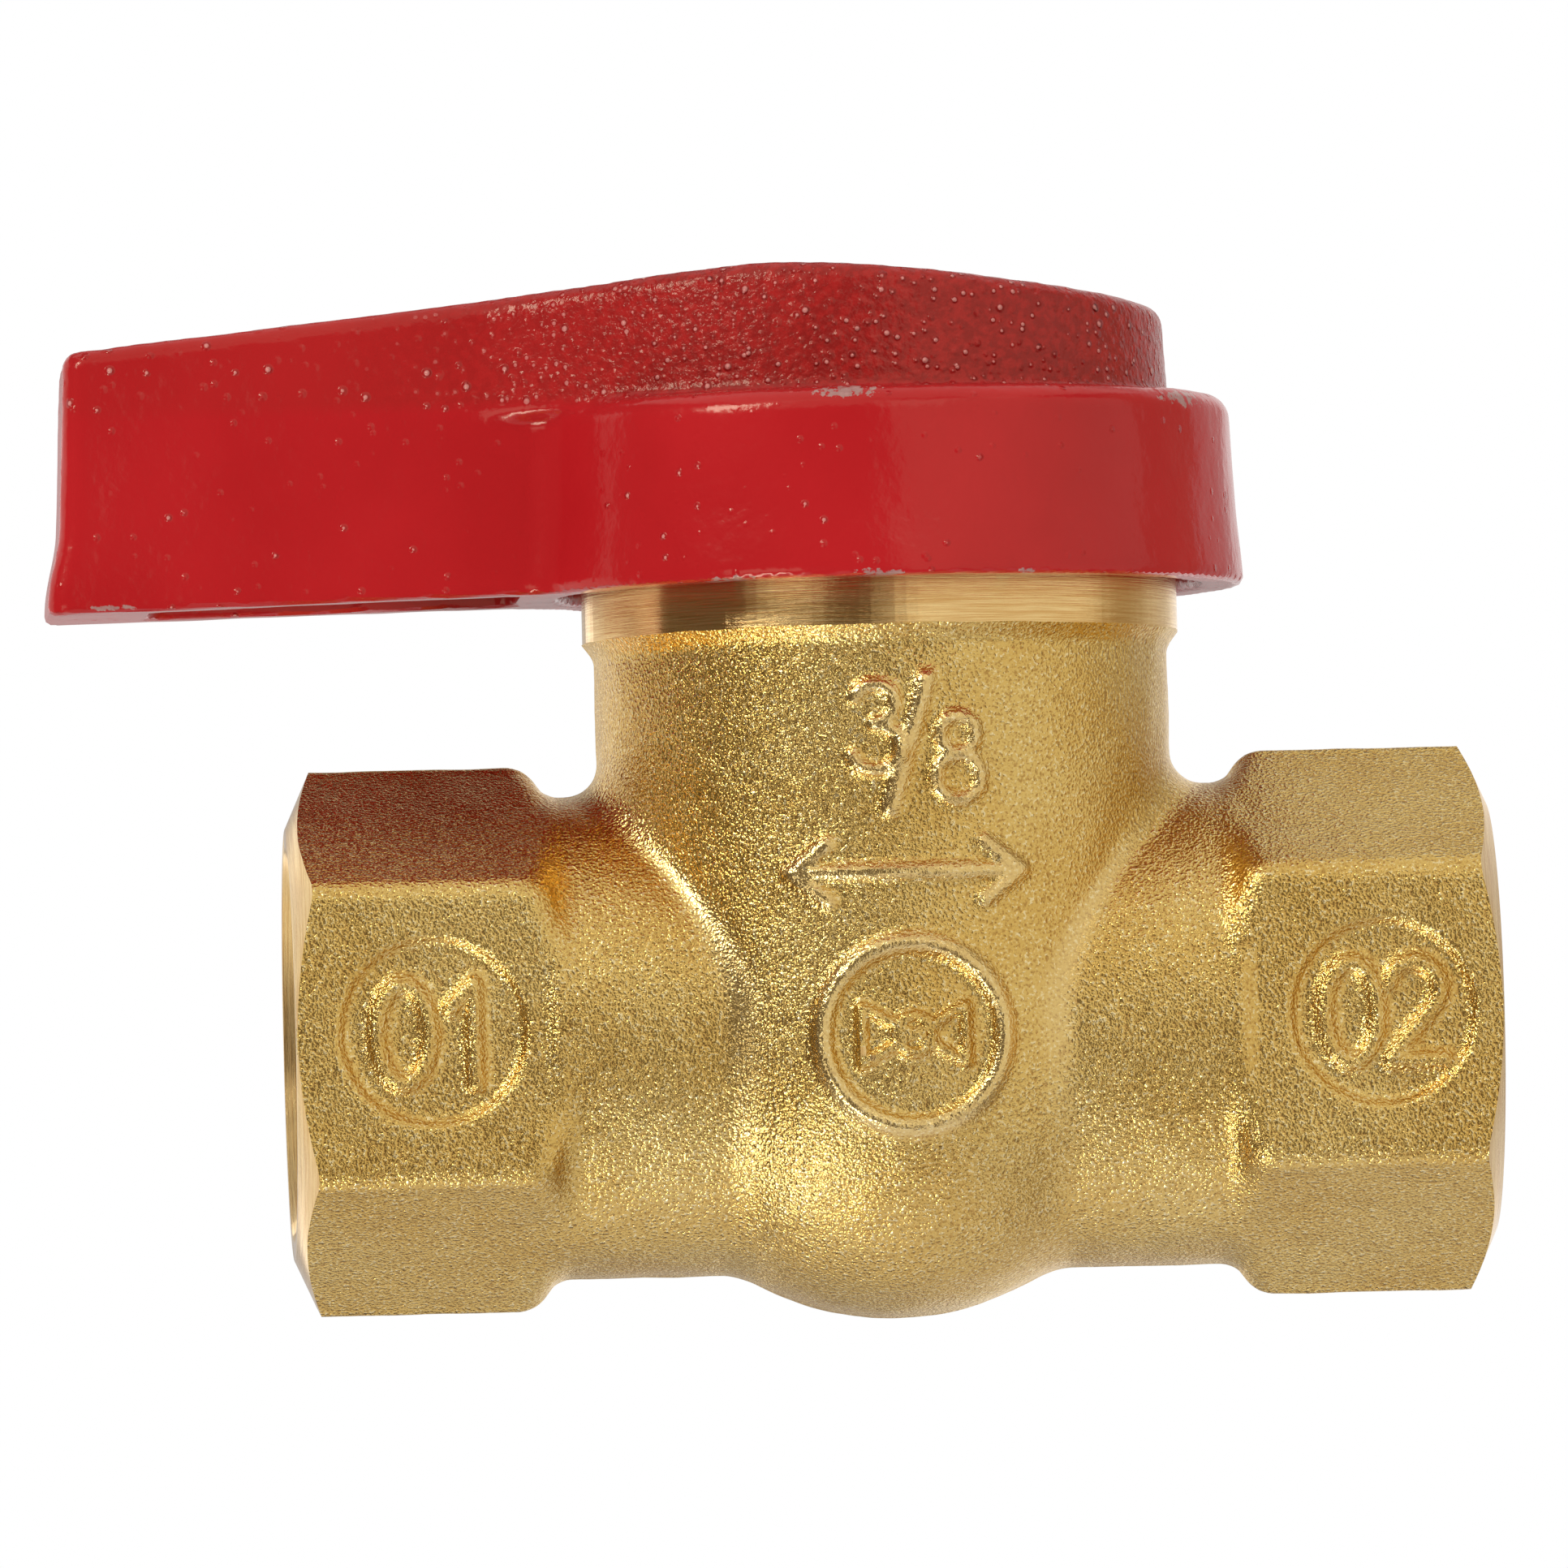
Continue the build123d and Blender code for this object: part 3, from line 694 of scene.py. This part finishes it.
class Shader:
    """A material that is being built, node by node."""

    def __init__(self, name):
        self.material = bpy.data.materials.new(name)
        self.material.use_nodes = True
        self.tree = self.material.node_tree
        self.tree.nodes.clear()
        self.out = self.tree.nodes.new("ShaderNodeOutputMaterial")
        coordinates = self.tree.nodes.new("ShaderNodeTexCoord")
        self.place = self.tree.nodes.new("ShaderNodeMapping")
        self.place.inputs["Scale"].default_value = (1 / MM, 1 / MM, 1 / MM)
        self.link(coordinates.outputs["Object"], self.place.inputs["Vector"])
        self.mm = self.place.outputs["Vector"]

    def link(self, source, target):
        """Joins two sockets."""
        self.tree.links.new(source, target)

    def add(self, kind, settings=None, **inputs):
        """Adds a node. A value given for an input may be a number, a colour or a socket."""
        node = self.tree.nodes.new("ShaderNode" + kind)
        for name, value in (settings or {}).items():
            setattr(node, name, value)
        for name, value in inputs.items():
            self.set(node.inputs[name.replace("_", " ")], value)
        return node

    def set(self, socket, value):
        """Gives an input a fixed value, or joins it to another socket."""
        if isinstance(value, bpy.types.NodeSocket):
            self.link(value, socket)
        else:
            socket.default_value = value

    def noise(self, scale, detail=2.0, roughness=0.5, vector=None):
        """Noise with features of about 1 / scale millimetres."""
        node = self.add(
            "TexNoise",
            Vector=vector or self.mm,
            Scale=scale,
            Detail=detail,
            Roughness=roughness,
        )
        return node.outputs["Fac"]

    def blisters(self, scale, radius, spare):
        """Round bumps about 1 / scale millimetres apart; spare is the share of empty places."""
        node = self.add("TexVoronoi", Vector=self.mm, Scale=scale)
        pick = self.add("SeparateColor", Color=node.outputs["Color"])
        size = self.ramp(pick.outputs["Red"], spare, 1.0, 0.0, 1.0)
        shape = self.add(
            "MapRange",
            {"interpolation_type": "SMOOTHSTEP"},
            Value=node.outputs["Distance"],
            From_Min=radius * scale,
            From_Max=0.0,
        )
        return self.math("MULTIPLY", shape.outputs["Result"], size)

    def ramp(self, value, low, high, from_value=0.0, to_value=1.0):
        """Maps low..high onto from_value..to_value, held at the ends."""
        node = self.add(
            "MapRange",
            {"clamp": True},
            Value=value,
            From_Min=low,
            From_Max=high,
            To_Min=from_value,
            To_Max=to_value,
        )
        return node.outputs["Result"]

    def math(self, operation, a, b=0.0):
        """One sum of two numbers or sockets."""
        node = self.add("Math", {"operation": operation})
        self.set(node.inputs[0], a)
        self.set(node.inputs[1], b)
        return node.outputs["Value"]

    def mix(self, factor, a, b):
        """A colour between a and b."""
        node = self.add("Mix", {"data_type": "RGBA"})
        self.set(node.inputs["Factor"], factor)
        self.set(node.inputs[6], a)
        self.set(node.inputs[7], b)
        return node.outputs[2]

    def bump(self, height, depth_mm, normal=None, strength=1.0):
        """A bump of a given depth in millimetres, on top of another normal if given."""
        node = self.add("Bump", Height=height, Strength=strength, Distance=depth_mm * MM)
        if normal:
            self.link(normal, node.inputs["Normal"])
        return node.outputs["Normal"]

    def axis(self, name):
        """One coordinate, in millimetres."""
        node = self.add("SeparateXYZ", Vector=self.mm)
        return node.outputs[name]

    def surface(self, **inputs):
        """Ends the material with a Principled surface."""
        node = self.add("BsdfPrincipled", **inputs)
        self.link(node.outputs["BSDF"], self.out.inputs["Surface"])
        return self.material


def rgb(red, green, blue):
    """A linear colour from 0..255 sRGB values."""
    linear = []
    for value in (red, green, blue):
        v = value / 255
        linear.append(v / 12.92 if v <= 0.04045 else ((v + 0.055) / 1.055) ** 2.4)
    return (*linear, 1.0)


def forged_brass():
    """Shot-blasted brass: fine bright grains and pits over a soft sheen."""
    s = Shader("forged_brass")
    grain = s.noise(GRAIN_SCALE, 1.0, 0.5)
    coarse = s.noise(1.1, 2.0, 0.5)
    patches = s.noise(0.16, 2.0, 0.5)
    painted_highlight_and_polish = s.add("Attribute", {"attribute_name": "painted_highlight_and_polish"}).outputs["Fac"]
    base = s.mix(s.ramp(patches, 0.35, 0.65), rgb(231, 196, 113), rgb(224, 184, 97))
    base = s.mix(s.ramp(grain, 0.3, 0.46, 0.6, 0.0), base, rgb(164, 114, 52))
    base = s.mix(s.ramp(grain, 0.58, 0.7, 0.0, 0.7), base, rgb(255, 238, 184))
    # Lighter brass where this attribute is high: a painted highlight along the neck-to-barrel
    # creases; on the raised marks, partly real polish, partly painted highlight.
    base = s.mix(s.math("MULTIPLY", painted_highlight_and_polish, 0.4), base, rgb(255, 230, 168))
    normal = s.bump(coarse, 0.02)
    normal = s.bump(grain, 0.08, normal, s.ramp(painted_highlight_and_polish, 0, 1, 1.0, 0.4))
    return s.surface(Base_Color=base, Metallic=1.0, Roughness=0.24, Normal=normal)


def turned_brass(name="turned_brass", axis=None):
    """Bright turned brass: fine tool lines that spread a reflection across them."""
    s = Shader(name)
    lines = s.noise(1.0, 4.0, 0.7, stretched(s, axis))
    base = s.mix(s.ramp(lines, 0.38, 0.62), rgb(252, 218, 149), rgb(228, 183, 111))
    normal = s.bump(lines, 0.014)
    inputs = {"Base_Color": base, "Metallic": 1.0, "Roughness": 0.2, "Normal": normal}
    if axis:
        tangent = s.add("Tangent", {"direction_type": "RADIAL", "axis": axis})
        inputs.update(Anisotropic=1.0, Anisotropic_Rotation=0.25, Tangent=tangent.outputs["Tangent"])
        inputs["Roughness"] = 0.17
    return s.surface(**inputs)


def stretched(s, axis):
    """Coordinates that vary fast along one axis and slowly round it, for tool lines."""
    fast, slow = 12.0, 0.25
    scale = {"X": (fast, slow, slow), "Z": (slow, slow, fast), None: (fast / 3,) * 3}[axis]
    node = s.add("Mapping", Vector=s.mm, Scale=scale)
    return node.outputs["Vector"]


# (x, z, half length, half height) of each place where the paint is scraped off
SCUFFS = [
    (-2.0, LEDGE_Z - 0.25, 1.9, 0.45),
    (13.2, LEDGE_Z - 0.5, 1.5, 0.5),
    (-7.2, HANDLE_Z + 0.05, 1.6, 0.2),
    (-0.8, HANDLE_Z + 0.1, 1.6, 0.25),
    (5.8, HANDLE_Z + 0.1, 0.5, 0.3),
    (-34.2, HANDLE_Z - 0.1, 1.6, 0.16),
]


# along the handle: where the tier's roughness and its darker shade grow, and the painted glints thin
# out
ROUGH_FROM_X = (-24, -9)
SHADED_FROM_X = (-34, -9)
FEW_PAINTED_GLINTS_FROM_X = (0.5, 2.5)


def red_paint():
    """Glossy red paint over a casting: a rough tier, smoother sides, chips along the edges."""
    s = Shader("red_paint")
    x, z = s.axis("X"), s.axis("Z")
    above = s.ramp(z, LEDGE_Z - 0.3, LEDGE_Z + 0.3)
    tier = s.math("MULTIPLY", above, s.ramp(x, *ROUGH_FROM_X))
    tone = s.noise(0.12, 3.0, 0.5)
    base = s.mix(s.ramp(tone, 0.35, 0.65), rgb(201, 34, 39), rgb(191, 29, 34))
    shaded = s.math("MULTIPLY", above, s.ramp(x, *SHADED_FROM_X, 0.2, 0.8))
    base = s.mix(shaded, base, rgb(178, 37, 34))
    mottle = s.math("MULTIPLY", s.ramp(s.noise(2.4, 2.0, 0.5), 0.42, 0.6, 0.5, 0.0), tier)
    base = s.mix(mottle, base, rgb(136, 24, 24))
    fine = s.blisters(2.3, 0.2, 0.1)
    loose = s.blisters(1.15, 0.27, 0.2)
    sparse = s.blisters(1.3, 0.21, 0.45)
    clusters = s.ramp(s.noise(0.16, 2.0, 0.5), 0.42, 0.52)
    sparse = s.math("MULTIPLY", sparse, clusters)
    # painted glints: light pink specks on the bumps where the key light would glint, fewer towards
    # +X
    left_half = s.ramp(x, *FEW_PAINTED_GLINTS_FROM_X, 1.0, 0.25)
    painted_glints = s.math("MULTIPLY", s.ramp(fine, 0.4, 0.55), tier)
    painted_glints = s.math("MAXIMUM", painted_glints, s.math("MULTIPLY", s.ramp(loose, 0.4, 0.55), above))
    painted_glints = s.math("MAXIMUM", painted_glints, s.math("MULTIPLY", s.ramp(sparse, 0.5, 0.62), left_half))
    # painted highlight: the glint specks are mixed into the paint's colour
    base = s.mix(s.math("MULTIPLY", painted_glints, 0.85), base, rgb(240, 156, 146))
    ragged = s.noise(2.2, 3.0, 0.7)
    bare = s.mix(ragged, rgb(214, 168, 160), rgb(128, 66, 62))
    base = s.mix(scuffs(s, x, z, ragged), base, bare)
    normal = s.bump(s.noise(0.7, 2.0, 0.5), 0.05)
    normal = s.bump(s.noise(2.2, 2.0, 0.5), 0.02, normal)
    normal = s.bump(fine, 0.15, normal, tier)
    normal = s.bump(loose, 0.2, normal, above)
    normal = s.bump(sparse, 0.14, normal)
    normal = s.bump(s.noise(3.6, 2.0, 0.5), 0.1, normal, s.ramp(tier, 0, 1, 0.06, 0.6))
    return s.surface(
        Base_Color=base,
        Roughness=s.ramp(tier, 0, 1, 0.17, 0.26),
        Specular_IOR_Level=0.36,
        Specular_Tint=(1.0, 0.95, 0.7, 1.0),
        Normal=normal,
    )


def scuffs(s, x, z, ragged):
    """Where the paint is scraped off, on the handle's front."""
    front = s.ramp(s.axis("Y"), -2.0, -3.0)
    total = None
    for centre_x, centre_z, half_length, half_height in SCUFFS:
        across = s.math("DIVIDE", s.math("SUBTRACT", x, centre_x), half_length)
        up = s.math("DIVIDE", s.math("SUBTRACT", z, centre_z), half_height)
        away = s.math("ADD", s.math("MULTIPLY", across, across), s.math("MULTIPLY", up, up))
        away = s.math("ADD", away, s.ramp(ragged, 0.3, 0.7, 0.0, 1.3))
        spot = s.ramp(away, 0.8, 1.0, 1.0, 0.0)
        total = s.math("MAXIMUM", total, spot) if total else spot
    return s.math("MULTIPLY", total, front)


def chrome():
    """Hard chrome on the ball, with faint polishing lines."""
    s = Shader("chrome_plate")
    lines = s.noise(1.0, 3.0, 0.6, stretched(s, "Z"))
    normal = s.bump(lines, 0.002)
    rough = s.ramp(lines, 0.3, 0.7, 0.06, 0.12)
    return s.surface(Base_Color=rgb(205, 207, 210), Metallic=1.0, Roughness=rough, Normal=normal)


def ptfe():
    """Waxy white PTFE."""
    s = Shader("ptfe")
    mottle = s.noise(1.4, 3.0, 0.6)
    base = s.mix(mottle, rgb(240, 240, 236), rgb(226, 226, 220))
    normal = s.bump(mottle, 0.01)
    return s.surface(Base_Color=base, Roughness=0.42, Subsurface_Weight=0.2, Normal=normal)


def nitrile():
    """Black rubber, slightly greased."""
    s = Shader("nitrile")
    mottle = s.noise(3.0, 3.0, 0.6)
    base = s.mix(mottle, rgb(24, 24, 25), rgb(38, 38, 40))
    normal = s.bump(mottle, 0.01)
    return s.surface(Base_Color=base, Roughness=s.ramp(mottle, 0.3, 0.7, 0.3, 0.5), Normal=normal)


def zinc_steel():
    """Zinc-plated steel with a fine, faintly blue grain."""
    s = Shader("zinc_steel")
    grain = s.noise(5.0, 3.0, 0.6)
    clouds = s.noise(0.5, 2.0, 0.5)
    base = s.mix(clouds, rgb(196, 200, 206), rgb(214, 212, 204))
    normal = s.bump(grain, 0.01)
    rough = s.ramp(grain, 0.3, 0.7, 0.22, 0.38)
    return s.surface(Base_Color=base, Metallic=1.0, Roughness=rough, Normal=normal)


def wear(piece, *materials):
    """Gives a piece its materials, in order."""
    piece.data.materials.clear()
    for material in materials:
        piece.data.materials.append(material)


MACHINED_DEPTH = 0.06  # a face this far inside the forging's skin has been cut


def mark_machined(body):
    """Gives the body's cut faces the turned material that suits their place."""
    mesh = body.data
    count = len(mesh.polygons)
    centres = np.empty(count * 3)
    mesh.polygons.foreach_get("center", centres)
    points = centres.reshape(-1, 3) / MM
    machined = forging_at(points) < -MACHINED_DEPTH
    slots = np.zeros(count, np.int32)
    slots[machined] = 1
    slots[machined & (points[:, 2] > BAND_Z - 0.1)] = 2
    mesh.polygons.foreach_set("material_index", slots)
    mesh.update()


def mark_painted_highlight_and_polish(body):
    """Notes at each point a painted highlight along the creases, and on the raised marks partly real
    polish from tumbling, partly painted highlight.
    """
    mesh = body.data
    points = np.empty(len(mesh.vertices) * 3)
    mesh.vertices.foreach_get("co", points)
    x, y, z = points.reshape(-1, 3).T / MM
    neck, barrel = neck_and_barrel(x, y, z)
    # painted highlight along each crease, faded out towards the bottom
    crease = np.exp(-(neck**2 + barrel**2) / CREASE_HIGHLIGHT_HALF_WIDTH**2)
    crease *= smooth_step(*CREASE_HIGHLIGHT_Z, z)
    # raised marks: partly real polish, partly painted highlight
    marks = smooth_step(0.08, 0.3, relief(x, z)) * (y < 0)
    painted_highlight_and_polish = np.maximum(crease, 0.8 * marks)
    mesh.attributes.new("painted_highlight_and_polish", "FLOAT", "POINT").data.foreach_set("value", painted_highlight_and_polish)


# ---- stage --------------------------------------------------------------------------------

CAMERA_DISTANCE = 1.2
CAMERA_YAW = 2.8  # degrees round to the left of square on
CAMERA_PITCH = 2.6  # degrees below level
CAMERA_ROLL = 1.46
FRAME_WIDTH = 0.0696  # metres across the picture at the valve
SENSOR_WIDTH = 36
AIM_RIGHT = -0.0047
AIM_UP = 0.01097
FLOOR_Z = -75.0
FLOOR_HALF = 3000.0
FLOOR_NEAR, FLOOR_FAR = 300, 750  # the floor turns from pale grey to the backdrop's white
FLOOR_PALE = 0.7


def camera():
    """A long lens, a little below and to the left of square on."""
    yaw, pitch, roll = (math.radians(a) for a in (CAMERA_YAW, CAMERA_PITCH, CAMERA_ROLL))
    level_back = Vector((-math.sin(yaw), -math.cos(yaw), 0))
    back = level_back * math.cos(pitch) - Vector((0, 0, math.sin(pitch)))
    level = Vector((0, 0, 1)).cross(back).normalized()
    upright = back.cross(level)
    right = level * math.cos(roll) - upright * math.sin(roll)
    up = upright * math.cos(roll) + level * math.sin(roll)
    aim = right * AIM_RIGHT + up * AIM_UP
    place = aim + back * CAMERA_DISTANCE
    data = bpy.data.cameras.new("camera")
    data.sensor_width = SENSOR_WIDTH
    data.lens = SENSOR_WIDTH * CAMERA_DISTANCE / FRAME_WIDTH
    data.clip_start, data.clip_end = 0.1, 20
    obj = bpy.data.objects.new("camera", data)
    turn = Matrix((right, up, back)).transposed().to_4x4()
    obj.matrix_world = Matrix.Translation(place) @ turn
    bpy.context.scene.collection.objects.link(obj)
    bpy.context.scene.camera = obj


LIT_POINT = Vector((0, 0, 0.01))


def area_light(name, bearing, height, distance, width, tall, brightness, tint):
    """A soft box that faces the valve. bearing and height are in degrees, and bearing 0 is
    the camera's side, 90 is +X. brightness is what a white mirror would show, where 1 is a
    white picture.
    """
    a, e = math.radians(bearing), math.radians(height)
    away = Vector((math.sin(a) * math.cos(e), -math.cos(a) * math.cos(e), math.sin(e)))
    data = bpy.data.lights.new(name, "AREA")
    data.shape = "RECTANGLE"
    data.size, data.size_y = width, tall
    data.energy = brightness * math.pi * width * tall
    data.color = tint
    obj = bpy.data.objects.new(name, data)
    obj.location = LIT_POINT + away * distance
    obj.rotation_mode = "QUATERNION"
    obj.rotation_quaternion = away.to_track_quat("Z", "Y")
    obj.visible_camera = False
    bpy.context.scene.collection.objects.link(obj)


WHITE, WARM, COOL = (1, 1, 1), (1.0, 0.86, 0.62), (1.0, 1.03, 1.2)

# soft boxes with gaps between them, which give turned brass its dark stripes:
# name, bearing, height, distance, width, tall, brightness, tint
LIGHTS = [
    ("right_box", 47, 2, 0.9, 1.8, 1.6, 0.66, WHITE),
    ("right_side_box", 106, 2, 0.9, 0.47, 1.6, 0.28, WARM),
    ("right_rear_box", 148, 0, 0.9, 0.9, 1.6, 0.48, WHITE),
    ("left_rear_box", -130, -4, 0.9, 1.15, 1.2, 0.76, WHITE),
    ("back_box", 180, 0, 0.9, 1.0, 1.3, 0.42, WHITE),
    ("top_box", 90, 88, 0.8, 1.3, 1.3, 0.7, WHITE),
    ("table_box", 90, -88, 0.8, 1.3, 1.3, 0.62, COOL),
    ("front_high_box", -22, 37, 0.9, 1.4, 0.44, 0.6, WHITE),
    ("left_low_box", -39, -18, 0.9, 0.4, 0.3, 1.55, WHITE),
    ("high_key", -54, 31, 0.8, 0.22, 0.22, 13, WHITE),
    ("low_key", -52, -50, 0.8, 0.2, 0.2, 14, WHITE),
]


def world():
    """White behind the valve, and a dim warm light in the gaps between the soft boxes."""
    w = bpy.data.worlds.new("studio")
    bpy.context.scene.world = w
    w.use_nodes = True
    tree = w.node_tree
    tree.nodes.clear()
    out = tree.nodes.new("ShaderNodeOutputWorld")
    path = tree.nodes.new("ShaderNodeLightPath")
    seen = tree.nodes.new("ShaderNodeBackground")
    seen.inputs["Color"].default_value = (1, 1, 1, 1)
    lit = tree.nodes.new("ShaderNodeBackground")
    lit.inputs["Color"].default_value = (1, 0.8, 0.68, 1)
    lit.inputs["Strength"].default_value = 0.12
    both = tree.nodes.new("ShaderNodeMixShader")
    tree.links.new(path.outputs["Is Camera Ray"], both.inputs[0])
    tree.links.new(lit.outputs[0], both.inputs[1])
    tree.links.new(seen.outputs[0], both.inputs[2])
    tree.links.new(both.outputs[0], out.inputs["Surface"])


def floor():
    """A plain pale floor that runs into the white backdrop, well below the valve."""
    corners = [(-1, -1), (1, -1), (1, 1), (-1, 1)]
    points = [(x * FLOOR_HALF, y * FLOOR_HALF, FLOOR_Z) for x, y in corners]
    obj = new_mesh("floor", points, [(0, 1, 2, 3)])
    s = Shader("floor")
    away = s.add("VectorMath", {"operation": "LENGTH"}, Vector=s.mm).outputs["Value"]
    glow = s.ramp(away, FLOOR_NEAR, FLOOR_FAR, FLOOR_PALE, 1.0)
    pale = s.surface(
        Base_Color=(0, 0, 0, 1.0),
        Specular_IOR_Level=0.0,
        Emission_Color=(1.0, 0.985, 0.965, 1.0),
        Emission_Strength=glow,
    )
    pale.cycles.emission_sampling = "NONE"
    wear(obj, pale)
    obj.visible_shadow = False
    obj.visible_diffuse = False
    obj.visible_glossy = False


# ---- assembly -----------------------------------------------------------------------------


def dress_cad_nodes():
    """Materials for the CAD pieces that keep their own meshes."""
    slots = {part["node"]: part["material_slot"] for part in frame["record"]["subparts"]}
    made = {
        "turned_brass": turned_brass("turned_brass_z", "Z"),
        "chrome_plate": chrome(),
        "ptfe": ptfe(),
        "nitrile": nitrile(),
        "zinc_steel": zinc_steel(),
    }
    for node, obj in frame["nodes"].items():
        if slots[node] in made:
            wear(obj, made[slots[node]])


body = make_body()
wear(body, forged_brass(), turned_brass("turned_brass_x", "X"), turned_brass("turned_neck", "Z"))
mark_machined(body)
mark_painted_highlight_and_polish(body)
shade(body)
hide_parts("valve_body")
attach(body, "valve")

handle = make_handle()
wear(handle, red_paint())
shade(handle)
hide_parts("handle")
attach(handle, "handle_and_stem")

dress_cad_nodes()
world()
for light in LIGHTS:
    area_light(*light)
floor()
camera()
bpy.context.scene.view_settings.view_transform = "Standard"
